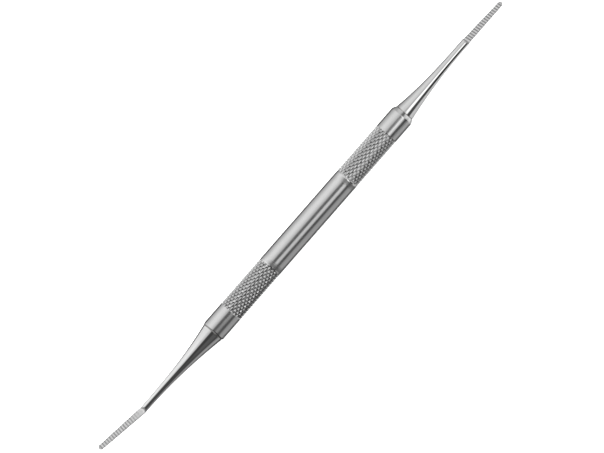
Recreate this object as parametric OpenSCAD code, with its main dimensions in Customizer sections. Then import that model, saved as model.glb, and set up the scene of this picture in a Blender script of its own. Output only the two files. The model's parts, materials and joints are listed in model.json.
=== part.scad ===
// Double-ended nail file: a knurled round handle with a straight toothed blade at one end
// and a blade set over sideways at the other.
// The long axis is X. The straight blade points along +X and the angled one along -X.
// The teeth face up and down. The origin is under the middle of the tool, on the surface it lies on.

/* [Handle] */
// Diameter of the bar that the handle is turned from
handle_d = 6.0; // [5.8:0.1:6.4]
// Plain collar at the straight end, with its chamfer
straight_collar_l = 6.5; // [5:0.1:8]
// Plain collar at the angled end, with its chamfer
angled_collar_l = 6.35; // [5:0.05:8]
// Plain band in the middle, between the knurled bands
middle_l = 27.4; // [20:0.1:35]
// Length of the chamfer at the straight end
straight_chamfer_l = 0.95; // [0.5:0.05:1.2]
// Length of the chamfer at the angled end
angled_chamfer_l = 0.25; // [0.2:0.05:1.2]

/* [Knurling] */
// Grooves that run around the handle, in each direction
knurl_starts = 20; // [18:1:22]
// Angle between the grooves and the long axis
knurl_angle = 31.5; // [28:0.5:35]
// Half diamonds along the band at the straight end
straight_knurl_rows = 19; // [14:1:22]
// Half diamonds along the band at the angled end
angled_knurl_rows = 19; // [14:1:22]
// Height of the crests above the plain bar
knurl_rise = 0.05; // [0.02:0.01:0.08]
// Depth of the grooves below the crests
knurl_depth = 0.27; // [0.2:0.01:0.32]

/* [Joints between handle and files] */
// Diameter of the tangs
tang_d = 3.0; // [2.6:0.1:3.2]
// Length of the tangs inside the handle
tang_l = 7.5; // [6:0.5:10]
// Gap around the tangs that the brazing metal fills
braze_gap = 0.1; // [0.08:0.01:0.15]
// Width of the seam that shows between handle and shank
seam_w = 0.16; // [0.1:0.01:0.2]
// Room left beyond the end of each tang
socket_spare = 0.5; // [0.3:0.1:1]

/* [Straight file] */
// Diameter of the shank where it leaves the handle
straight_base_d = 4.85; // [4.4:0.05:5]
// Length of the shank
straight_shank_l = 22.85; // [18:0.05:28]
// Width of the shank where the blade starts
straight_neck_w = 1.97; // [1.9:0.01:2.2]
// How quickly the shank narrows
straight_flare_power = 2.5; // [2:0.1:3]
// Sideways offset of the blade from the handle's axis
straight_offset = 0.17; // [0:0.01:0.3]
// Angle that the blade leans back towards the axis by
straight_lean = 1.3; // [0:0.1:2]
// Length of the blade
straight_blade_l = 12.45; // [12.4:0.05:14]
// Width of the blade where it leaves the shank
straight_blade_w = 1.76; // [1.65:0.01:1.84]
// Width of the blade at its round tip
straight_tip_w = 1.25; // [1.1:0.01:1.4]
// Number of grooves across the blade
straight_teeth = 17; // [12:1:17]
// Distance from one groove to the next
straight_pitch = 0.69; // [0.65:0.01:0.71]
// Slant of the grooves
straight_slant = 10; // [0:1:12]

/* [Angled file] */
// Diameter of the shank where it leaves the handle
angled_base_d = 5.6; // [5:0.05:5.6]
// Length of the shank
angled_shank_l = 25.15; // [18:0.05:28]
// Width of the shank where the blade starts
angled_neck_w = 1.73; // [1.7:0.01:2]
// How quickly the shank narrows
angled_flare_power = 2.3; // [2:0.1:3]
// Sideways offset of the shank where the blade starts
angled_offset = 0.27; // [0:0.01:0.3]
// Length of the blade
angled_blade_l = 14.0; // [14:0.05:15]
// Width of the blade where it leaves the shank
angled_blade_w = 1.8; // [1.7:0.01:1.84]
// Width of the blade at its round tip
angled_tip_w = 1.28; // [1.1:0.01:1.4]
// Number of grooves across the blade
angled_teeth = 17; // [12:1:17]
// Distance from one groove to the next
angled_pitch = 0.74; // [0.65:0.01:0.74]
// Angle that the blade is set over by
angled_bend = 7.4; // [0:0.1:9]

/* [Blades] */
// Thickness of a blade where it leaves the shank
blade_t = 0.95; // [0.8:0.05:1.1]
// Thickness of a blade near its tip
blade_tip_t = 0.7; // [0.6:0.05:0.8]
// Width of a groove at the surface
groove_w = 0.38; // [0.2:0.01:0.45]
// Depth of a groove
groove_depth = 0.13; // [0.08:0.01:0.16]

/* [Hidden] */
$fn = 64;
// Cutters run on this far outside what they cut, and a tang this far inside its shank
overlap = 1;

// Knurling: crests and groove crossings stand on one grid of rings
handle_r = handle_d / 2;
crest_r = handle_r + knurl_rise;
root_r = crest_r - knurl_depth;
// The solid bar under the knurling lies this far below its grooves
core_gap = 0.3;
core_r = root_r - core_gap;
ring_points = 2 * knurl_starts;
ring_step = 360 / ring_points;
row_l = PI * handle_d / knurl_starts / tan(knurl_angle) / 2;
straight_knurl_l = straight_knurl_rows * row_l;
angled_knurl_l = angled_knurl_rows * row_l;
// A knurled band runs on this far inside the plain bands next to it
knurl_lap = 0.3;

// The handle rests on the crests on either side of its lowest line
axis_z = crest_r * cos(ring_step / 2);

// Places along the long axis, with the middle of the whole tool at 0
handle_l = angled_collar_l + angled_knurl_l + middle_l + straight_knurl_l + straight_collar_l;
straight_reach = reach(straight_shank_l, straight_blade_l, straight_tip_w, straight_lean);
angled_reach = reach(angled_shank_l, angled_blade_l, angled_tip_w, angled_bend);
straight_end_x = (handle_l + angled_reach - straight_reach) / 2;
angled_end_x = straight_end_x - handle_l;
angled_knurl_x = angled_end_x + angled_collar_l;
middle_x = angled_knurl_x + angled_knurl_l;
straight_knurl_x = middle_x + middle_l;
straight_collar_x = straight_knurl_x + straight_knurl_l;

// The end faces stand this far proud of the shanks all round, and the braze lies as far below them
seam_step = 0.07;
socket_r = tang_d / 2 + braze_gap;
socket_l = tang_l + socket_spare;
straight_face_r = straight_base_d / 2 + seam_step;
angled_face_r = angled_base_d / 2 + seam_step;

// Shanks
shank_sides = 32;
shank_rings = 22;
// How square the section becomes
neck_squareness = 2.3;
// Height of a shank over its width, where the blade starts
neck_flatness = 0.9;
// Length of the bevel from the shank down to the blade
bevel_l = 0.45;

// Blades
// The shank's end is this much narrower all round than the blade that grows out of it
blade_side_step = 0.04;
// A blade runs on this far inside its shank, narrower by the second value on each side
blade_lap = 1.2;
lap_side_step = 0.15;
tip_arc_points = 12;
// Length of the bevel at a blade's tip, and the thickness that it leaves
tip_bevel_l = 0.45;
tip_edge_t = 0.3;
// Distance from the shank to the first groove
straight_first_groove = 0.55;
angled_first_groove = 1.45;

// A circle at squareness 2, and closer to a rectangle above that
function section_point(a, squareness) =
    let (c = cos(a), s = sin(a), p = 2 / squareness)
    [sign(c) * pow(abs(c), p), sign(s) * pow(abs(s), p)];

// 0 to 1 with level ends
function ease(v) = v * v * (3 - 2 * v);

// How far a file stands out of the handle, with its blade turned by an angle
function reach(shank_l, blade_l, tip_w, angle) = shank_l + (blade_l - tip_w / 2) * cos(angle) + tip_w / 2;

function section_ring(x, y, w, t, squareness) = [
    for (i = [0 : shank_sides - 1])
        let (p = section_point(i * 360 / shank_sides, squareness))
        [x, y + p[0] * w / 2, p[1] * t / 2]
];

// One ring of the shank, at v = 0 by the handle to 1 by the blade
function shank_ring(v, l, base_d, neck_w, flare_power, offset) =
    let (w = neck_w + (base_d - neck_w) * pow(1 - v, flare_power))
    let (t = w * (1 + (neck_flatness - 1) * ease(v)))
    section_ring(v * l, offset * ease(v), w, t, 2 + (neck_squareness - 2) * ease(v));

// Two triangles for each cell between rings of n points, with closed ends
function tube_faces(rings, n) = concat(
    [
        for (i = [0 : rings - 2], j = [0 : n - 1])
            let (a = i * n + j, b = i * n + (j + 1) % n)
            each [[a, a + n, b], [b, a + n, b + n]]
    ],
    [[for (j = [0 : n - 1]) j]],
    [[for (j = [n - 1 : -1 : 0]) (rings - 1) * n + j]]
);

// The same, with each cell split along its groove
function knurl_faces(rings, n) = concat(
    [
        for (i = [0 : rings - 2], j = [0 : n - 1])
            let (a = i * n + j, b = i * n + (j + 1) % n)
            each (i + j) % 2 == 0
                ? [[a, b + n, b], [a, a + n, b + n]]
                : [[a, a + n, b], [b, a + n, b + n]]
    ],
    [[for (j = [0 : n - 1]) j]],
    [[for (j = [n - 1 : -1 : 0]) (rings - 1) * n + j]]
);

function knurl_ring(x, i, crests) = [
    for (j = [0 : ring_points - 1])
        let (a = (j + 0.5) * ring_step - 90)
        let (r = crests && (i + j) % 2 == 0 ? crest_r : root_r)
        [x, r * cos(a), r * sin(a)]
];

// Diamond knurling along X, starting at x = 0
module knurl_band(rows) {
    last = rows * row_l;
    rings = concat(
        [knurl_ring(-knurl_lap, 0, false)],
        [for (i = [0 : rows]) knurl_ring(i * row_l, i, i > 0 && i < rows)],
        [knurl_ring(last + knurl_lap, 0, false)]
    );
    polyhedron([for (ring = rings) each ring], knurl_faces(rows + 3, ring_points));
}

// Round bar along X with a step at each knurled band and a chamfer at each end
module turned_bar() {
    profile = [
        [0, angled_end_x],
        [angled_face_r, angled_end_x],
        [handle_r, angled_end_x + angled_chamfer_l],
        [handle_r, angled_knurl_x],
        [core_r, angled_knurl_x],
        [core_r, middle_x],
        [handle_r, middle_x],
        [handle_r, straight_knurl_x],
        [core_r, straight_knurl_x],
        [core_r, straight_collar_x],
        [handle_r, straight_collar_x],
        [handle_r, straight_end_x - straight_chamfer_l],
        [straight_face_r, straight_end_x],
        [0, straight_end_x]
    ];
    rotate([90, 0, 90])
        rotate_extrude()
            polygon(profile);
}

// Blind socket for a tang, from a handle's end face at x = 0 towards -x
module socket() {
    rotate([0, -90, 0])
        translate([0, 0, -overlap])
            cylinder(h = socket_l + overlap, r = socket_r);
}

// Puts a piece made along +x from x = 0 at the handle's straight end
module at_straight_end() {
    translate([straight_end_x, 0, axis_z])
        children();
}

// The same at the handle's angled end, pointing along -x
module at_angled_end() {
    translate([angled_end_x, 0, axis_z])
        mirror([1, 0, 0])
            children();
}

// Round tang and tapered shank, with the bevel that ends in a blade
module shank(l, base_d, neck_w, flare_power, offset, blade_w) {
    end_w = blade_w - 2 * blade_side_step;
    end_t = blade_t - 2 * blade_side_step;
    rings = concat(
        [
            for (i = [0 : shank_rings - 1])
                let (v = i / (shank_rings - 1))
                shank_ring(v, l - bevel_l - seam_w, base_d, neck_w, flare_power, offset)
        ],
        [section_ring(l - seam_w, offset, end_w, end_t, neck_squareness)]
    );
    translate([seam_w, 0, 0])
        polyhedron([for (ring = rings) each ring], tube_faces(shank_rings + 1, shank_sides));
    translate([-tang_l, 0, 0])
        rotate([0, 90, 0])
            cylinder(h = tang_l + seam_w + overlap, d = tang_d);
}

// Outline of a blade from above: straight sides that close in, and a round tip
module blade_outline(l, w, tip_w) {
    r = tip_w / 2;
    tip = [
        for (i = [0 : tip_arc_points])
            let (a = 90 - i * 180 / tip_arc_points)
            [l - r + r * cos(a), r * sin(a)]
    ];
    lap_y = w / 2 - lap_side_step;
    polygon(concat([[0, -w / 2], [-blade_lap, -lap_y], [-blade_lap, lap_y], [0, w / 2]], tip));
}

// Half thickness of a blade at x
function blade_half_t(x, l) =
    (blade_t + (blade_tip_t - blade_t) * max(0, x) / (l - tip_bevel_l)) / 2;

// Side view of a blade: a long wedge with grooves above and below, and a bevelled tip
module blade_profile(l, teeth, pitch, first_groove) {
    upper = concat(
        [[-blade_lap, blade_t / 2]],
        [
            for (k = [0 : teeth - 1])
                let (x = first_groove + k * pitch)
                let (top = blade_half_t(x, l))
                each [[x - groove_w / 2, top], [x, top - groove_depth], [x + groove_w / 2, top]]
        ],
        [[l - tip_bevel_l, blade_tip_t / 2], [l, tip_edge_t / 2]]
    );
    lower = [for (i = [len(upper) - 1 : -1 : 0]) [upper[i][0], -upper[i][1]]];
    polygon(concat(upper, lower));
}

// Toothed blade along +x, with its grooves slanted
module blade(l, w, tip_w, teeth, pitch, first_groove, slant) {
    // A slanted profile reaches past the tip by this much, to cover both its edges
    overrun = w / 2 * tan(slant);
    intersection() {
        translate([0, 0, -blade_t])
            linear_extrude(height = 2 * blade_t)
                blade_outline(l, w, tip_w);
        rotate([90, 0, slant])
            translate([0, 0, -2 * w])
                linear_extrude(height = 4 * w)
                    blade_profile(l + overrun, teeth, pitch, first_groove);
    }
}

// Brazing metal: a sleeve around the tang and a thin ring under the shank
module braze(base_d) {
    rotate([90, 0, 90])
        rotate_extrude()
            polygon([
                [tang_d / 2, -tang_l],
                [socket_r, -tang_l],
                [socket_r, 0],
                [base_d / 2 - seam_step, 0],
                [base_d / 2 - seam_step, seam_w],
                [tang_d / 2, seam_w]
            ]);
}

module handle() {
    color("silver")
        difference() {
            union() {
                translate([0, 0, axis_z]) {
                    turned_bar();
                    translate([angled_knurl_x, 0, 0])
                        knurl_band(angled_knurl_rows);
                    translate([straight_knurl_x, 0, 0])
                        knurl_band(straight_knurl_rows);
                }
            }
            at_straight_end()
                socket();
            at_angled_end()
                socket();
        }
}

module straight_file() {
    color("gainsboro")
        at_straight_end() {
            shank(
                straight_shank_l,
                straight_base_d,
                straight_neck_w,
                straight_flare_power,
                straight_offset,
                straight_blade_w
            );
            translate([straight_shank_l, straight_offset, 0])
                rotate([0, 0, -straight_lean])
                    blade(
                        straight_blade_l,
                        straight_blade_w,
                        straight_tip_w,
                        straight_teeth,
                        straight_pitch,
                        straight_first_groove,
                        straight_slant
                    );
        }
}

module angled_file() {
    color("gainsboro")
        at_angled_end() {
            shank(
                angled_shank_l,
                angled_base_d,
                angled_neck_w,
                angled_flare_power,
                angled_offset,
                angled_blade_w
            );
            translate([angled_shank_l, angled_offset, 0])
                rotate([0, 0, angled_bend])
                    blade(
                        angled_blade_l,
                        angled_blade_w,
                        angled_tip_w,
                        angled_teeth,
                        angled_pitch,
                        angled_first_groove,
                        0
                    );
        }
}

module straight_end_braze() {
    color("dimgray")
        at_straight_end()
            braze(straight_base_d);
}

module angled_end_braze() {
    color("dimgray")
        at_angled_end()
            braze(angled_base_d);
}

handle();
straight_file();
angled_file();
straight_end_braze();
angled_end_braze();
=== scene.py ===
"""Looks of the double-ended nail file: fine knurling, polished shanks, toothed blades, studio."""

import json
import math

import bpy
import numpy as np
from mathutils import Matrix, Vector


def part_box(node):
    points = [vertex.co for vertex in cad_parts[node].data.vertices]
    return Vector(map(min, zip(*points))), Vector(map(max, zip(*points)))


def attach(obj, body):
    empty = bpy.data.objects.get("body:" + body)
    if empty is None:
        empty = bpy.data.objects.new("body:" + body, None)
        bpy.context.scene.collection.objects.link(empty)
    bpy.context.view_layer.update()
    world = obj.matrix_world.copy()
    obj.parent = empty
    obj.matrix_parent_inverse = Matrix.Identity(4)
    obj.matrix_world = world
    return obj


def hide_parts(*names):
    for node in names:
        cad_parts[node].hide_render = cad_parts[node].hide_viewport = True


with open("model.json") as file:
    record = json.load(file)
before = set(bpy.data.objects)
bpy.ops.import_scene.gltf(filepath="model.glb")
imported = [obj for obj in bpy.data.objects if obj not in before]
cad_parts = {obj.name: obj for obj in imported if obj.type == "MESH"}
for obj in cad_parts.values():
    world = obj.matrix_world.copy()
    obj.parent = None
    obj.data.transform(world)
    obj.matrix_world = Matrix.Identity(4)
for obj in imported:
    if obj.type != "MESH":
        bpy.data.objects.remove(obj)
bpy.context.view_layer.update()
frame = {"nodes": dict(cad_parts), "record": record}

MM = 0.001

# ---------------------------------------------------------------- places, from the frame
MOUNTS = {m["name"]: m for m in frame["record"]["mounts"]}


def band(name):
    """The ends along X of a plain band of the handle, low then high."""
    mount = MOUNTS[name]
    half = mount["dims"]["length_mm"] * MM / 2
    return mount["pos_m"][0] - half, mount["pos_m"][0] + half


HANDLE_R = MOUNTS["middle_band"]["dims"]["r_mm"] * MM
AXIS_Z = MOUNTS["middle_band"]["pos_m"][2]
MIDDLE = band("middle_band")
STRAIGHT_COLLAR = band("straight_end_collar")
ANGLED_COLLAR = band("angled_end_collar")
STRAIGHT_END_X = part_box("handle")[1][0]
ANGLED_END_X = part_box("handle")[0][0]
STRAIGHT_TIP_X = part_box("straight_file")[1][0]
ANGLED_TIP_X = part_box("angled_file")[0][0]
SEAM_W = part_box("straight_end_braze")[1][0] - STRAIGHT_END_X

# ---------------------------------------------------------------- sizes that the frame doesn't give
SEAM_STEP = 0.07 * MM  # the handle's end face is larger than the shank's base by this, in radius
KNURL_STARTS = 20  # diamonds around
KNURL_ROWS = 19  # half diamonds along
KNURL_RISE = 0.05 * MM  # height of an uncut crest above the bar
KNURL_DEPTH = 0.27 * MM  # from an uncut crest to the bottom of a groove

# One set per file. A blade is matte, and its dirt-and-shade layer darkens it with grime and painted shade
# and brightens it with a painted highlight.
STRAIGHT = {
    "base_w": 4.85 * MM,  # the shank's diameter at the handle
    "neck_w": 1.97 * MM,  # the shank's width at the blade
    "flare": 2.5,  # power by which the shank thins
    "offset": 0.17 * MM,  # the neck's shift towards +Y
    "shank_l": 22.85 * MM,
    "turn": math.radians(-1.3),  # the blade's turn about the neck, towards +Y
    "blade_w": 1.76 * MM,  # at the neck
    "tip_w": 1.25 * MM,
    "teeth": 17,  # grooves across each flat
    "pitch": 0.69 * MM,
    "first_groove": 0.55 * MM,  # from the shank's end
    "slant": math.radians(10),  # of the grooves
    "step_bulge": 0.0,  # how far the flats reach back into the shank at their middle
    "step_band": 0.55 * MM,  # band of painted shade on the step, or 0 if the painted shade lies only on the cut's sloping end
    "rim": 0.0,  # painted highlight on the strip that follows the step
    "edge": 0.25,  # painted shade along the blade's edges
    "tip_shade": 0.3,  # darkening past the last groove
    "clean": 0.0,  # how much less grime and painted shade the first grooves hold
    "metal": 0.83,  # how metallic the matte part looks
}
ANGLED = {
    "base_w": 5.6 * MM,
    "neck_w": 1.73 * MM,
    "flare": 2.3,
    "offset": 0.27 * MM,
    "shank_l": 25.15 * MM,
    "turn": math.radians(7.4),
    "blade_w": 1.80 * MM,
    "tip_w": 1.28 * MM,
    "teeth": 17,
    "pitch": 0.74 * MM,
    "first_groove": 1.45 * MM,
    "slant": 0.0,
    "step_bulge": 0.3 * MM,
    "step_band": 0.0,
    "rim": 0.5,
    "edge": 0.5,
    "tip_shade": 0.35,
    "clean": 0.7,
    "metal": 0.73,
}
NECK_FLATNESS = 0.9  # the shank's thickness over its width, at the neck
BLADE_T = 0.95 * MM  # blade's thickness at the neck
BLADE_TIP_T = 0.7 * MM  # and where the tip's bevel begins
TIP_BEVEL_L = 0.45 * MM
TIP_EDGE_T = 0.3 * MM
GROOVE_W = 0.46 * MM
GROOVE_DEPTH = 0.13 * MM


# ---------------------------------------------------------------- mesh helpers
def ease(v):
    """0 to 1 with level ends."""
    v = np.clip(v, 0, 1)
    return v * v * (3 - 2 * v)


def tube_mesh(name, rings, sharp, **layers):
    """A closed mesh through rings of points, with a value per point for each layer the material reads."""
    n_rings, n = rings.shape[:2]
    i = np.arange(n_rings - 1)[:, None]
    j = np.arange(n)[None, :]
    a = i * n + j
    b = i * n + (j + 1) % n
    faces = np.stack([a, b, b + n, a + n], -1).reshape(-1, 4).tolist()
    faces.append(list(range(n - 1, -1, -1)))
    faces.append([(n_rings - 1) * n + k for k in range(n)])
    mesh = bpy.data.meshes.new(name)
    mesh.from_pydata(rings.reshape(-1, 3).tolist(), [], faces)
    mesh.validate()
    mesh.update()
    mesh.polygons.foreach_set("use_smooth", [True] * len(mesh.polygons))
    mesh.set_sharp_from_angle(angle=math.radians(sharp))
    for layer_name, values in layers.items():
        attribute = mesh.attributes.new(layer_name, "FLOAT", "POINT")
        attribute.data.foreach_set("value", np.ascontiguousarray(values, dtype=np.float32).ravel())
    obj = bpy.data.objects.new(name, mesh)
    bpy.context.scene.collection.objects.link(obj)
    return obj


# ---------------------------------------------------------------- handle
CELL = 6  # mesh steps along each side of a half diamond
CREST = 0.93  # height, as a share of the depth, at which the crests are cut flat
GROOVE_SIDE = 0.35  # height up to which the sides of a groove hold grime and painted shade
GROOVE_GRIME_AND_SHADE = 0.45  # grime and painted shade in a groove; the rest is added where two cross
CROSSING_PEAK = 1.25  # over 1, so that a crossing is fully darkened a little way out
CROSSING_W = 0.5  # how fast that darkening falls away from a crossing
KNURL_START_L = 0.16 * MM  # the outer ends of the knurling are crisp
KNURL_END_L = 0.8 * MM  # the inner ends run out
KNURL_GAP = 0.05 * MM  # from the last plain ring to the first knurled one
PLAIN_RINGS = 40  # rings to a plain band
WORN_L = 1.0 * MM  # length of the dull patch past each inner end
WORN_GROWTH = 2.5  # how soon that patch is at its dullest
WORN_FINISH = 0.8  # its finish, from 0, as turned, to 1, as knurled
WORN_PATCH_SHADE = 0.75  # how dark its painted shade is, on all but its +Y side
LIT_SIDE_FROM = 0.75  # cosine of the angle from +Y at which that unshaded side begins
BREAK = 0.06 * MM  # size of a broken edge
FACE_BREAK_L = 0.6 * BREAK  # its length at the end faces
RIM_BREAK = 0.5 * BREAK  # its depth at the chamfers' outer rims
HANDLE_SHARP = 28  # degrees; steeper edges are shaded sharp


def knurl_shape(p, q):
    """Height, 0 in the grooves to CREST, and darkening for grime and painted shade, a set share in the
    grooves to 1 where they cross.

    p and q count half diamonds along and around."""
    def ridge(v):
        return np.abs(np.mod(v, 2) - 1)
    one, other = ridge(p + q), ridge(p - q)
    groove = np.clip(1 - np.minimum(one, other) / GROOVE_SIDE, 0, 1)
    crossing = np.clip(CROSSING_PEAK - np.maximum(one, other) / CROSSING_W, 0, 1)
    height = np.minimum(np.minimum(one, other), CREST)
    return height, GROOVE_GRIME_AND_SHADE * groove + (1 - GROOVE_GRIME_AND_SHADE) * crossing


def make_handle():
    """The turned and knurled bar, ring by ring from the angled end to the straight one."""
    columns = 2 * KNURL_STARTS * CELL
    q = np.arange(columns) / CELL
    angle = np.radians((q + 0.5) * 180 / KNURL_STARTS - 90)
    away_from_y = ease(LIT_SIDE_FROM - np.cos(angle))
    xs, radii, knurls, dirt_and_shade_rows = [], [], [], []

    def station(x, r, worn=0.0):
        """A plain ring; worn goes from 0, as turned, to 1, the dull patch."""
        xs.append(x)
        radii.append(np.full(columns, r))
        knurls.append(np.full(columns, WORN_FINISH * worn))
        # painted shade on the dull patch, on all but its +Y side
        dirt_and_shade_rows.append(WORN_PATCH_SHADE * worn * away_from_y)

    def plain(x0, x1):
        """Plain band between two places, dull next to the inner end of a knurled band."""
        for f in np.linspace(0, 1, PLAIN_RINGS):
            x = x0 + (x1 - x0) * f
            worn = 1 - min(abs(x - MIDDLE[0]), abs(x - MIDDLE[1])) / WORN_L
            station(x, HANDLE_R, float(ease(WORN_GROWTH * worn)))

    def knurled(x0, x1, fade_in, fade_out):
        """Knurled band between two places, growing and running out over the two fades."""
        steps = KNURL_ROWS * CELL
        for k in range(steps + 1):
            x = x0 + (x1 - x0) * k / steps
            strength = float(ease((x - x0) / fade_in) * ease((x1 - x) / fade_out))
            h, grime_and_shade = knurl_shape(k / CELL, q)
            xs.append(x)
            radii.append(HANDLE_R + strength * (KNURL_RISE - KNURL_DEPTH * (1 - h)))
            knurls.append(np.full(columns, max(strength, WORN_FINISH)))
            # grime and painted shade in the knurl's grooves, most where two cross
            dirt_and_shade_rows.append(strength * grime_and_shade)

    straight_face_r = STRAIGHT["base_w"] / 2 + SEAM_STEP
    angled_face_r = ANGLED["base_w"] / 2 + SEAM_STEP
    station(ANGLED_END_X, angled_face_r - BREAK)
    station(ANGLED_END_X + FACE_BREAK_L, angled_face_r)
    station(ANGLED_COLLAR[0] - BREAK, HANDLE_R - RIM_BREAK)
    plain(ANGLED_COLLAR[0] + BREAK, ANGLED_COLLAR[1] - KNURL_GAP)
    knurled(ANGLED_COLLAR[1], MIDDLE[0], KNURL_START_L, KNURL_END_L)
    plain(MIDDLE[0] + KNURL_GAP, MIDDLE[1] - KNURL_GAP)
    knurled(MIDDLE[1], STRAIGHT_COLLAR[0], KNURL_END_L, KNURL_START_L)
    plain(STRAIGHT_COLLAR[0] + KNURL_GAP, STRAIGHT_COLLAR[1] - BREAK)
    station(STRAIGHT_COLLAR[1] + BREAK, HANDLE_R - RIM_BREAK)
    station(STRAIGHT_END_X - FACE_BREAK_L, straight_face_r)
    station(STRAIGHT_END_X, straight_face_r - BREAK)

    r = np.array(radii)
    rings = np.stack([
        np.repeat(np.array(xs)[:, None], columns, 1),
        r * np.cos(angle),
        AXIS_Z + r * np.sin(angle),
    ], -1)
    return tube_mesh("handle_knurled", rings, HANDLE_SHARP, knurl=np.array(knurls), dirt=np.array(dirt_and_shade_rows))


# ---------------------------------------------------------------- files
RING_POINTS = 120  # points around a file
CROWDING = 0.16  # how far they crowd towards the blade's edges, where its corners are
BLADE_POWER = 9.0  # how square the blade's section is
JOIN_POWER = 26.0  # how crisp the edge is between the blade and the shank
RAMP = math.radians(38)  # slope of the end of the cut that makes the blade
BEND_L = 0.35 * MM  # length over which the blade's turn is taken up
LEAN_L = 1.0 * MM  # length before the first groove over which the rings take up its slant
FILE_SHARP = 25  # degrees; steeper edges are shaded sharp

SHANK_RINGS = 110  # rings to the shank, up to its close rings
CLOSE_L = 1.6 * MM  # length of the shank's last stretch, which has close rings
CLOSE_RINGS = 0.03 * MM  # distance between close rings
GROOVE_RINGS = 24  # rings to each groove
TIP_RINGS = 20
TIP_LIMIT = 0.985  # the last ring's share of the tip's quarter turn
ROUND_LIMIT = 0.9999  # keeps the width above nothing where rings lean past the tip
GROOVE_LEAD = 0.6 * GROOVE_W  # close rings stop this far before the grooves and start this far past
GROOVE_TAIL = 0.55 * GROOVE_W  # the grooves' own rings end this far past the last groove's middle

GROUND_RISE = 0.06  # how far inside the oval the cut is fully matte, as a share of its radius
BAND_SHIFT = 0.4  # how far before the shank's end the band of painted shade lies, and
BAND_REACH = 0.62  # how far it reaches each way, both as shares of its width
STEP_SHADE = 0.9  # painted shade on the step at the blade's start
STEP_MATTE = 0.8  # how matte the step is
STEP_SHADE_END = 0.1 * MM  # how far past the step its painted shade reaches
RIM_HIGHLIGHT_AT = 0.28 * MM  # middle of the painted highlight on the strip past the step
RIM_HIGHLIGHT_HALF_W = 0.2 * MM
EDGE_FROM = 0.55  # share of the half width where the painted shade on the edges begins
EDGE_RISE = 0.4  # share over which it grows
TIP_SHADE_L = 0.5 * MM  # length over which the tip darkens
CLEARED_GROOVES = 4  # how many of the first grooves hold less grime and painted shade


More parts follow.
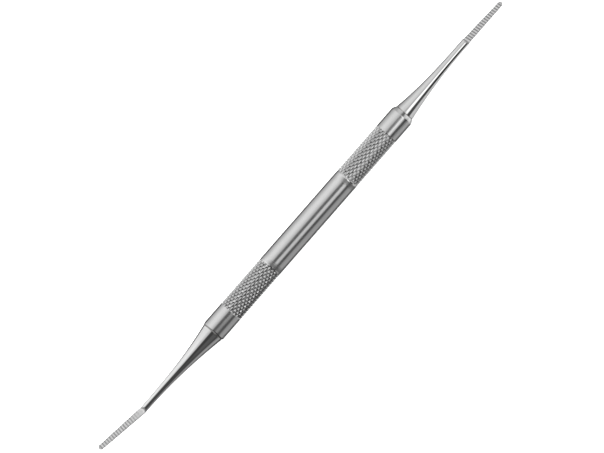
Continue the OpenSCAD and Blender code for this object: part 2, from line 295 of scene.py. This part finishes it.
class FileForm:
    """One file's form. u runs outwards from the handle's end face, a goes across the blade and b up."""

    def __init__(self, spec, end_x, tip_x):
        self.spec = spec
        self.shank_l = spec["shank_l"]
        self.tip_r = spec["tip_w"] / 2
        reach = abs(tip_x - end_x) - self.shank_l - self.tip_r
        self.blade_l = reach / math.cos(spec["turn"]) + self.tip_r
        self.total = self.shank_l + self.blade_l
        self.straight_end = self.total - self.tip_r
        self.first = self.shank_l + spec["first_groove"]
        self.last = self.first + (spec["teeth"] - 1) * spec["pitch"]

    def half_w(self, u):
        """Half the blade's width, with a round end."""
        spec = self.spec
        side = np.clip((u - self.shank_l) / (self.blade_l - self.tip_r), 0, 1)
        half = (spec["blade_w"] + (spec["tip_w"] - spec["blade_w"]) * side) / 2
        past = np.clip((u - self.straight_end) / self.tip_r, 0, ROUND_LIMIT)
        return half * np.sqrt(1 - past ** 2)

    def half_t(self, u):
        """Half the blade's thickness, with a bevel at the tip."""
        share = np.clip((u - self.shank_l) / (self.blade_l - TIP_BEVEL_L), 0, 1)
        bevel = np.clip((u - self.total + TIP_BEVEL_L) / TIP_BEVEL_L, 0, 1)
        t = BLADE_T + (BLADE_TIP_T - BLADE_T) * share
        return (t + (TIP_EDGE_T - BLADE_TIP_T) * bevel) / 2

    def ring_places(self):
        """Every ring's u: spread out on the shank, close together at the step, grooves and tip."""
        close = self.shank_l - CLOSE_L
        grooved = self.first - GROOVE_LEAD
        return np.concatenate([
            np.linspace(SEAM_W, close, SHANK_RINGS, endpoint=False),
            np.arange(close, grooved, CLOSE_RINGS),
            np.arange(grooved, self.last + GROOVE_TAIL, self.spec["pitch"] / GROOVE_RINGS),
            np.arange(self.last + GROOVE_LEAD, self.straight_end, CLOSE_RINGS),
            self.straight_end + self.tip_r * np.sin(np.linspace(0, math.pi / 2 * TIP_LIMIT, TIP_RINGS)),
        ])

    def along_shank(self, u):
        """0 at the handle to 1 at the neck and beyond."""
        return min((u - SEAM_W) / (self.shank_l - SEAM_W), 1.0)

    def oval_r(self, u, cos, sin):
        """Radii of the shank's oval section."""
        spec = self.spec
        v = self.along_shank(u)
        w = spec["neck_w"] + (spec["base_w"] - spec["neck_w"]) * (1 - v) ** spec["flare"]
        t = w * (1 + (NECK_FLATNESS - 1) * float(ease(v)))
        return 1 / np.hypot(cos / (w / 2), sin / (t / 2))

    def cut(self, u):
        """Depth of the grooves at u, without their slant."""
        pitch = self.spec["pitch"]
        place = (u - self.first) / pitch
        nearest = min(max(round(place), 0), self.spec["teeth"] - 1)
        dist = abs(place - nearest) * pitch
        return (0.5 + 0.5 * math.cos(math.pi * min(1.0, dist / (GROOVE_W / 2)))) * GROOVE_DEPTH

    def lean(self, u):
        """Angle by which the rings lean with the grooves."""
        lean_in, lean_out = self.first - LEAN_L, self.first - GROOVE_LEAD
        taken_up = float(ease(np.array((u - lean_in) / (lean_out - lean_in))))
        let_go = float(ease(np.array((self.total - u) / (self.total - self.last - GROOVE_TAIL))))
        return self.spec["slant"] * taken_up * let_go

    def finish(self, u, a, bw, foot, ramp, cut):
        """What the material reads: matte on the blade and its step; grime and painted shade in the grooves,
        painted shade on the step, along the edges and at the tip, and a painted highlight past the step.
        """
        spec = self.spec
        shade_band = spec["step_band"]
        on_step = ramp
        if shade_band:
            off = np.abs(u - self.shank_l + shade_band * BAND_SHIFT)
            on_step = ease(1 - off / (shade_band * BAND_REACH))
        matte = np.maximum(np.maximum(ramp, (u > foot) * 1.0), on_step * STEP_MATTE)
        # painted highlight on the strip just past the step
        rim = ease(1 - np.abs(u - foot - RIM_HIGHLIGHT_AT) / RIM_HIGHLIGHT_HALF_W) * spec["rim"]
        # painted shade along the blade's edges and at its tip
        edges = ease((np.abs(a) / bw - EDGE_FROM) / EDGE_RISE) * spec["edge"] * (u > foot)
        shade = edges + spec["tip_shade"] * float(ease(np.array((u - self.last) / TIP_SHADE_L)))
        # grime and painted shade in the grooves, less in the first few
        cleared = np.array(1 - (u - self.first) / (CLEARED_GROOVES * spec["pitch"]))
        in_groove = cut / GROOVE_DEPTH * (1 - spec["clean"] * float(ease(cleared)))
        # painted shade on the ground step
        on_step = STEP_SHADE * on_step * (u < foot + STEP_SHADE_END)
        return matte, np.maximum(in_groove, on_step) + shade - rim

    def ring(self, u, cos, sin):
        """One ring as places along the tool, across it and up, with its matte and dirt-and-shade values."""
        spec = self.spec
        r_oval = self.oval_r(u, cos, sin)
        # the blade's section is ground into the shank, with a sloping end to the cut
        foot = self.shank_l - spec["step_bulge"] * (1 - np.abs(cos) ** 2)
        back = np.maximum(0.0, foot - u)
        bw = float(self.half_w(np.array(u))) + back * math.tan(RAMP)
        bt = float(self.half_t(np.array(u))) + back * math.tan(RAMP)
        r_box = ((np.abs(cos) / bw) ** BLADE_POWER + (np.abs(sin) / bt) ** BLADE_POWER) ** (-1 / BLADE_POWER)
        r = r_box
        if u <= self.shank_l:
            r = (r_oval ** -JOIN_POWER + r_box ** -JOIN_POWER) ** (-1 / JOIN_POWER)
        a, b = r * cos, r * sin
        cut = self.cut(u)
        if cut > 0:
            b = np.sign(b) * np.minimum(np.abs(b), bt - cut)
        d_u = -np.tan(self.lean(u)) * a
        if spec["slant"]:
            wanted = self.half_w(np.full_like(a, u) + d_u)
            a = np.where(u > self.shank_l, a * wanted / float(self.half_w(np.array(u))), a)
        ramp = ease(np.clip((r_oval / r_box - 1) / GROUND_RISE, 0, 1)) * (back > 0)
        matte, dirt = self.finish(u, a, bw, foot, ramp, cut)
        # the blade is turned about the neck
        past = u + d_u - self.shank_l
        t = spec["turn"] * ease(past / BEND_L + 0.5)
        shift = spec["offset"] * float(ease(self.along_shank(u)))
        along = self.shank_l + past * np.cos(t) - a * np.sin(t)
        across = shift + past * np.sin(t) * (past > 0) + a * np.cos(t)
        return along, across, b, matte, dirt


def make_file(name, spec, end_x, tip_x, outward):
    """Shank and blade as one skin; outward is 1 where they point to +X and -1 where to -X."""
    form = FileForm(spec, end_x, tip_x)
    phi = (np.arange(RING_POINTS) + 0.5) * 2 * math.pi / RING_POINTS
    phi = phi - CROWDING * np.sin(2 * phi)
    rings, mattes, dirt_and_shade_rows = [], [], []
    for u in form.ring_places():
        along, across, up, matte, dirt = form.ring(u, np.cos(phi), np.sin(phi))
        rings.append(np.stack([end_x + outward * along, across, AXIS_Z + up], -1))
        mattes.append(matte)
        dirt_and_shade_rows.append(dirt)
    rings, mattes, dirt_and_shade_rows = np.array(rings), np.array(mattes), np.array(dirt_and_shade_rows)
    if outward < 0:
        rings, mattes, dirt_and_shade_rows = rings[:, ::-1], mattes[:, ::-1], dirt_and_shade_rows[:, ::-1]
    return tube_mesh(name, rings, FILE_SHARP, matte=mattes, dirt=dirt_and_shade_rows)


# ---------------------------------------------------------------- shader helpers
NOISE_LOW, NOISE_HIGH = 0.3, 0.7  # most of a noise texture's values lie between these


def new_material(name):
    """A material with nodes, and its nodes, links and main shader."""
    mat = bpy.data.materials.new(name)
    mat.use_nodes = True
    nodes = mat.node_tree.nodes
    return mat, nodes, mat.node_tree.links, nodes["Principled BSDF"]


def noise(nodes, links, coords, scale, detail):
    """A noise texture over object space; scale is its cells per metre along each axis."""
    mapping = nodes.new("ShaderNodeMapping")
    mapping.inputs["Scale"].default_value = scale
    links.new(coords, mapping.inputs["Vector"])
    tex = nodes.new("ShaderNodeTexNoise")
    tex.inputs["Scale"].default_value = 1.0
    tex.inputs["Detail"].default_value = detail
    tex.inputs["Roughness"].default_value = 0.55
    links.new(mapping.outputs["Vector"], tex.inputs["Vector"])
    return tex.outputs["Fac"]


def map_range(nodes, links, value, start, end, low=0.0, high=1.0):
    """low to high as value goes from start to end."""
    node = nodes.new("ShaderNodeMapRange")
    node.inputs["From Min"].default_value = start
    node.inputs["From Max"].default_value = end
    node.inputs["To Min"].default_value = low
    node.inputs["To Max"].default_value = high
    links.new(value, node.inputs["Value"])
    return node.outputs["Result"]


def noise_range(nodes, links, value, low, high):
    """A noise value spread from low to high."""
    return map_range(nodes, links, value, NOISE_LOW, NOISE_HIGH, low, high)


def put(links, value, socket):
    """Sets a socket to a number, or links another socket to it."""
    if isinstance(value, (int, float)):
        socket.default_value = value
    else:
        links.new(value, socket)


def math_node(nodes, links, operation, *values):
    """The result of a Math node; each value may be a number or a socket."""
    node = nodes.new("ShaderNodeMath")
    node.operation = operation
    for k, value in enumerate(values):
        put(links, value, node.inputs[k])
    return node.outputs[0]


def mixed(nodes, links, factor, a, b):
    """a to b by factor; each may be a number or a socket."""
    node = nodes.new("ShaderNodeMix")
    node.clamp_factor = False
    links.new(factor, node.inputs["Factor"])
    put(links, a, node.inputs[2])
    put(links, b, node.inputs[3])
    return node.outputs[0]


def mixed_colour(nodes, links, factor):
    """A colour mix by factor, and its two colour sockets."""
    node = nodes.new("ShaderNodeMix")
    node.data_type = "RGBA"
    links.new(factor, node.inputs["Factor"])
    return node.outputs[2], node.inputs[6], node.inputs[7]


def layer(nodes, name):
    """A mesh layer's value."""
    node = nodes.new("ShaderNodeAttribute")
    node.attribute_name = name
    return node.outputs["Fac"]


def add_bump(nodes, links, bsdf, height, distance):
    """Bump from a height; distance is what a height of 1 stands for, in metres."""
    bump = nodes.new("ShaderNodeBump")
    bump.inputs["Strength"].default_value = 1.0
    bump.inputs["Distance"].default_value = distance
    links.new(height, bump.inputs["Height"])
    links.new(bump.outputs["Normal"], bsdf.inputs["Normal"])


# ---------------------------------------------------------------- materials
STEEL_PATCHES = (500, 500, 500)  # noise cells per metre along X, Y and Z, here and below
STEEL_GRAIN = (16000, 16000, 16000)
STEEL_WAVES = (315, 900, 900)
BRAZE_PATCHES = (330, 330, 330)
BRAZE_PITS = (2000, 2000, 2000)
FLUX_DARK = (0.17, 0.165, 0.155, 1)
BRAZE_BRIGHT = (0.68, 0.67, 0.65, 1)


def braze_metal():
    """Brazing metal, bright where it was wiped and dark where flux stayed in the joint."""
    mat, nodes, links, bsdf = new_material("braze_metal")
    coords = nodes.new("ShaderNodeTexCoord").outputs["Object"]
    bsdf.inputs["Metallic"].default_value = 1.0
    patch = noise(nodes, links, coords, BRAZE_PATCHES, 2)
    wiped = noise_range(nodes, links, patch, 0.0, 1.0)
    colour, dark, bright = mixed_colour(nodes, links, wiped)
    dark.default_value = FLUX_DARK
    bright.default_value = BRAZE_BRIGHT
    links.new(colour, bsdf.inputs["Base Color"])
    links.new(noise_range(nodes, links, patch, 0.35, 0.18), bsdf.inputs["Roughness"])
    add_bump(nodes, links, bsdf, noise(nodes, links, coords, BRAZE_PITS, 2), 0.002 * MM)
    return mat


def two_part_steel(name, mask, plain, worked):
    """Metal that goes from one finish to another by a mesh layer, and darkens where the dirt-and-shade layer
    says: grime and painted shade, with a painted highlight where that layer is below 0.

    Tones and roughness are pairs for noise to vary between, and depths are in millimetres."""
    mat, nodes, links, bsdf = new_material(name)
    coords = nodes.new("ShaderNodeTexCoord").outputs["Object"]
    patch = noise(nodes, links, coords, STEEL_PATCHES, 4)
    grain = noise(nodes, links, coords, STEEL_GRAIN, 3)
    lines = noise(nodes, links, coords, plain["lines"], 2)
    wave = noise(nodes, links, coords, STEEL_WAVES, 2)
    factor = layer(nodes, mask)
    # the dirt-and-shade layer: grime and painted shade darken, a painted highlight below 0 lightens
    dirt = layer(nodes, "dirt")

    plain_tone = noise_range(nodes, links, patch, *plain["tone"])
    worked_tone = noise_range(nodes, links, grain, *worked["tone"])
    tone = mixed(nodes, links, factor, plain_tone, worked_tone)
    darkened = math_node(nodes, links, "MULTIPLY", dirt, worked["dirt"])
    clean = math_node(nodes, links, "SUBTRACT", 1.0, darkened)
    tone = math_node(nodes, links, "MULTIPLY", tone, clean)
    colour = nodes.new("ShaderNodeCombineColor")
    for k in range(3):
        links.new(tone, colour.inputs[k])
    links.new(colour.outputs[0], bsdf.inputs["Base Color"])

    bsdf.inputs["Metallic"].default_value = 1.0
    if worked["metal"] < 1.0:
        links.new(mixed(nodes, links, factor, 1.0, worked["metal"]), bsdf.inputs["Metallic"])
    plain_rough = noise_range(nodes, links, patch, *plain["rough"])
    rough = mixed(nodes, links, factor, plain_rough, worked["rough"])
    dull = math_node(nodes, links, "MULTIPLY", dirt, worked["dirt_rough"])
    links.new(math_node(nodes, links, "ADD", rough, dull), bsdf.inputs["Roughness"])

    line_height = math_node(nodes, links, "MULTIPLY", lines, plain["line_depth"])
    wave_height = math_node(nodes, links, "MULTIPLY", wave, plain["wave_depth"])
    smooth = math_node(nodes, links, "ADD", line_height, wave_height)
    grain_height = math_node(nodes, links, "MULTIPLY", grain, worked["grain_depth"])
    add_bump(nodes, links, bsdf, mixed(nodes, links, factor, smooth, grain_height), MM)
    return mat


def handle_steel():
    """Fine turned rings on the plain bands, grime and painted shade in the grooves of the knurling, and
    painted shade on the dull patches.
    """
    turned = {
        "tone": (0.72, 0.75),
        "rough": (0.14, 0.20),
        "lines": (9000, 500, 500),
        "line_depth": 0.0006,
        "wave_depth": 0.004,
    }
    knurled = {
        "tone": (0.78, 0.90),
        "rough": 0.19,
        "metal": 1.0,
        "dirt": 0.75,
        "dirt_rough": 0.3,
        "grain_depth": 0.002,
    }
    return two_part_steel("handle_steel", "knurl", turned, knurled)


def file_steel(name, metal):
    """Polished lengthwise on the shank, matte on the blade."""
    polished = {
        "tone": (0.78, 0.82),
        "rough": (0.06, 0.10),
        "lines": (500, 6000, 6000),
        "line_depth": 0.0003,
        "wave_depth": 0.005,
    }
    matte = {
        "tone": (0.62, 0.82),
        "rough": 0.48,
        "metal": metal,
        "dirt": 0.6,
        "dirt_rough": 0.0,
        "grain_depth": 0.010,
    }
    return two_part_steel(name, "matte", polished, matte)


# ---------------------------------------------------------------- light tent
TENT_R = 0.2
TENT_HALF_L = 0.6
TENT_CAP_R = 0.001  # radius of the flat face in the middle of each end
TENT_POINTS = 96  # points around it
TENT_STEPS = 12  # steps along it
TENT_SHARP = 30  # degrees; steeper edges are shaded sharp

# What each kind of surface mirrors, as a brightness around the tool. A stop is an angle in degrees
# from straight up, positive towards +Y, and a value.
FAR_END = [(-180, 0.08), (-100, 0.25), (-30, 0.55), (40, 0.65), (110, 0.3), (180, 0.08)]
LEFT_FACETS = [
    (-180, 0.05), (-60, 0.04), (-2, 0.05), (38, 0.09), (56, 0.32), (93, 0.4), (117, 0.45), (180, 0.1),
]
ANGLED_BASE = [
    (-180, 0.05), (-70, 0.05), (-55, 0.10), (-25, 0.11), (-12, 0.05), (10, 0.06), (20, 0.6), (50, 0.92),
    (84, 0.84), (124, 0.62), (130, 0.1), (180, 0.06),
]
ANGLED_SIDE = [
    (-180, 0.06), (-125, 0.08), (-116, 0.36), (-80, 0.34), (-68, 0.07), (10, 0.06), (20, 0.7), (50, 1.05),
    (84, 0.95), (108, 0.85), (124, 0.75), (130, 0.1), (180, 0.06),
]
RIGHT_FACETS = [
    (-180, 0.2), (-121, 0.5), (-93, 0.35), (-65, 0.25), (-35, 0.25), (-10, 0.38), (2, 0.44), (35, 0.72),
    (65, 0.6), (93, 0.5), (121, 0.4), (180, 0.1),
]
CHAMFER_LOW = [
    (-180, 0.5), (-121, 1.0), (-93, 0.9), (-75, 0.4), (-65, 0.15), (-45, 0.45), (-10, 0.5), (2, 0.55),
    (35, 0.72), (65, 0.6), (93, 0.5), (121, 0.4), (180, 0.1),
]
CHAMFER_SIDE = [
    (-180, 0.4), (-110, 0.8), (-56, 0.95), (-50, 0.8), (-26, 0.72), (-16, 0.14), (9, 0.14), (16, 0.3),
    (26, 0.61), (42, 0.72), (100, 0.7), (130, 0.3), (180, 0.2),
]


def handle_side(strip):
    """For the handle's plain parts; strip is the value of the thin band just past the middle."""
    return [
        (-180, 0.10), (-125, 0.14), (-116, 0.36), (-106, 0.41), (-80, 0.39), (-70, 0.34), (-60, 0.10),
        (-44, 0.10), (-37, 0.82 * strip), (-28, strip), (-16, 0.95 * strip), (-9, 0.14), (6, 0.14),
        (12, 0.3), (18, 0.61), (28, 0.72), (37, 0.84), (47, 0.91), (68, 0.93), (79, 0.84), (92, 0.72),
        (106, 0.56), (124, 0.45), (130, 0.1), (180, 0.1),
    ]


def straight_side(line, start, end):
    """For the straight shank; line is the value of its dark band, which goes from start to end."""
    return [
        (-180, 0.3), (-150, 0.5), (-120, 0.6), (start - 8, 0.7), (start, line), (end, line), (end + 6, 1.4),
        (-7, 1.5), (-1, 0.46), (8, 0.5), (18, 0.74), (60, 0.82), (90, 0.62), (110, 0.42), (128, 0.3),
        (136, 0.1), (180, 0.2),
    ]


# From -X to +X, after FAR_END: where along X, in metres, the tent begins to change to the next
# zone and where it has, and that zone's stops.
ZONES = [
    ((-0.45, -0.33), LEFT_FACETS),
    ((-0.122, -0.112), ANGLED_BASE),
    ((-0.096, -0.086), ANGLED_SIDE),
    ((-0.054, -0.038), handle_side(0.30)),
    ((-0.026, -0.018), handle_side(0.76)),
    ((0.018, 0.028), handle_side(0.98)),
    ((0.040, 0.048), straight_side(0.01, -78, -34)),
    ((0.074, 0.088), straight_side(0.08, -71, -37)),
    ((0.102, 0.108), RIGHT_FACETS),
    ((0.118, 0.130), CHAMFER_LOW),
    ((0.19, 0.21), CHAMFER_SIDE),
    ((0.45, 0.52), FAR_END),
]


def add_ramp(nodes, links, factor, stops):
    """Brightness by angle; factor goes from 0 at -180 degrees to 1 at 180."""
    ramp = nodes.new("ShaderNodeValToRGB")
    elements = ramp.color_ramp.elements
    while len(elements) > 1:
        elements.remove(elements[-1])
    for k, (angle, value) in enumerate(stops):
        place = (angle + 180) / 360
        element = elements[0] if k == 0 else elements.new(place)
        element.position = place
        element.color = (value, value, value, 1)
    links.new(factor, ramp.inputs["Fac"])
    return ramp.outputs["Color"]


def tent_light():
    """Light that varies around the long axis and, zone by zone, along it."""
    mat = bpy.data.materials.new("tent_light")
    mat.use_nodes = True
    nodes, links = mat.node_tree.nodes, mat.node_tree.links
    nodes.clear()
    out = nodes.new("ShaderNodeOutputMaterial")
    light = nodes.new("ShaderNodeEmission")
    light.inputs["Strength"].default_value = 1.0
    links.new(light.outputs["Emission"], out.inputs["Surface"])
    split = nodes.new("ShaderNodeSeparateXYZ")
    links.new(nodes.new("ShaderNodeTexCoord").outputs["Object"], split.inputs["Vector"])
    up = math_node(nodes, links, "SUBTRACT", split.outputs["Z"], AXIS_Z)
    angle = math_node(nodes, links, "ARCTAN2", split.outputs["Y"], up)
    around = map_range(nodes, links, angle, -math.pi, math.pi)
    colour = add_ramp(nodes, links, around, FAR_END)
    for (x0, x1), stops in ZONES:
        here = map_range(nodes, links, split.outputs["X"], x0, x1)
        both, before, after = mixed_colour(nodes, links, here)
        links.new(colour, before)
        links.new(add_ramp(nodes, links, around, stops), after)
        colour = both
    links.new(colour, light.inputs["Color"])
    return mat


def make_tent():
    """A closed light tent seen only in reflections: bright and dark bands that run along the tool."""
    half_steps = TENT_STEPS / 2
    inner = [-TENT_HALF_L + TENT_HALF_L * k / half_steps for k in range(1, TENT_STEPS)]
    xs = [-TENT_HALF_L] * 2 + inner + [TENT_HALF_L] * 2
    radii = [TENT_CAP_R] + [TENT_R] * (len(xs) - 2) + [TENT_CAP_R]
    turn = np.arange(TENT_POINTS) * 2 * math.pi / TENT_POINTS
    rings = np.array([
        np.stack([np.full(TENT_POINTS, x), r * np.sin(turn), AXIS_Z + r * np.cos(turn)], -1)
        for x, r in zip(xs, radii)
    ])
    tent = tube_mesh("light_tent", rings, TENT_SHARP)
    tent.data.materials.append(tent_light())
    tent.visible_camera = False
    tent.visible_diffuse = False
    tent.visible_shadow = False
    tent.visible_transmission = False


# ---------------------------------------------------------------- floor, lamp and camera
FLOOR_HALF = 3.0
LAMP_SIZE = 1.6
LAMP_POWER = 30
LAMP_PLACE = (-0.3, 0.5, 1.2)
TOOL_RISE = math.radians(48.83)  # the tool rises this much to the right in the view
CAMERA_HEIGHT = 2.0
VIEW_W = 144.4 * MM
SENSOR_W = 36
VIEW_X = 0.15 * MM  # the view's middle, before it is moved left and up
MOVED_LEFT = 0.454  # millimetres
MOVED_UP = 0.302  # millimetres


def make_floor():
    """A plain pale floor, bright enough to read as white paper."""
    mesh = bpy.data.meshes.new("floor")
    s = FLOOR_HALF
    mesh.from_pydata([(-s, -s, 0), (s, -s, 0), (s, s, 0), (-s, s, 0)], [], [(0, 1, 2, 3)])
    floor = bpy.data.objects.new("floor", mesh)
    bpy.context.scene.collection.objects.link(floor)
    mat, nodes, links, bsdf = new_material("floor_white")
    bsdf.inputs["Base Color"].default_value = (0.85, 0.85, 0.85, 1)
    bsdf.inputs["Roughness"].default_value = 0.9
    bsdf.inputs["Specular IOR Level"].default_value = 0.0
    bsdf.inputs["Emission Color"].default_value = (1, 1, 1, 1)
    bsdf.inputs["Emission Strength"].default_value = 0.55
    mesh.materials.append(mat)
    floor.visible_glossy = False


def make_lights():
    """One large softbox above, and an even white world."""
    data = bpy.data.lights.new("softbox", "AREA")
    data.shape = "RECTANGLE"
    data.size = LAMP_SIZE
    data.size_y = LAMP_SIZE
    data.energy = LAMP_POWER
    lamp = bpy.data.objects.new("softbox", data)
    lamp.location = LAMP_PLACE
    lamp.rotation_euler = (Vector((0, 0, 0)) - lamp.location).to_track_quat("-Z", "Y").to_euler()
    lamp.visible_glossy = False
    lamp.visible_camera = False
    bpy.context.scene.collection.objects.link(lamp)

    world = bpy.data.worlds.new("studio")
    bpy.context.scene.world = world
    world.use_nodes = True
    background = world.node_tree.nodes["Background"]
    background.inputs["Color"].default_value = (1, 1, 1, 1)
    background.inputs["Strength"].default_value = 1.0


def make_camera():
    """Looks straight down through a long lens, rolled so that the tool rises to the right."""
    data = bpy.data.cameras.new("camera")
    cam = bpy.data.objects.new("camera", data)
    right = Vector((math.cos(TOOL_RISE), -math.sin(TOOL_RISE), 0))
    up = Vector((math.sin(TOOL_RISE), math.cos(TOOL_RISE), 0))
    target = Vector((VIEW_X, 0, AXIS_Z)) - right * MOVED_LEFT * MM + up * MOVED_UP * MM
    data.sensor_width = SENSOR_W
    data.lens = SENSOR_W * CAMERA_HEIGHT / VIEW_W
    data.clip_start = 0.5
    data.clip_end = 10
    turn = Matrix((right, up, right.cross(up))).transposed().to_4x4()
    cam.matrix_world = Matrix.Translation(target + Vector((0, 0, CAMERA_HEIGHT))) @ turn
    bpy.context.scene.collection.objects.link(cam)
    bpy.context.scene.camera = cam
    bpy.context.scene.view_settings.view_transform = "Standard"


# ---------------------------------------------------------------- build
make_camera()

handle = make_handle()
handle.data.materials.append(handle_steel())
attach(handle, "root")
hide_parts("handle")

straight_file = make_file("straight_file_skin", STRAIGHT, STRAIGHT_END_X, STRAIGHT_TIP_X, 1)
angled_file = make_file("angled_file_skin", ANGLED, ANGLED_END_X, ANGLED_TIP_X, -1)
for piece, node, spec in ((straight_file, "straight_file", STRAIGHT), (angled_file, "angled_file", ANGLED)):
    piece.data.materials.append(file_steel(node + "_steel", spec["metal"]))
    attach(piece, "root")
    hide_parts(node)

braze = braze_metal()
for node in ("straight_end_braze", "angled_end_braze"):
    for slot in frame["nodes"][node].material_slots:
        slot.material = braze

make_floor()
make_tent()
make_lights()
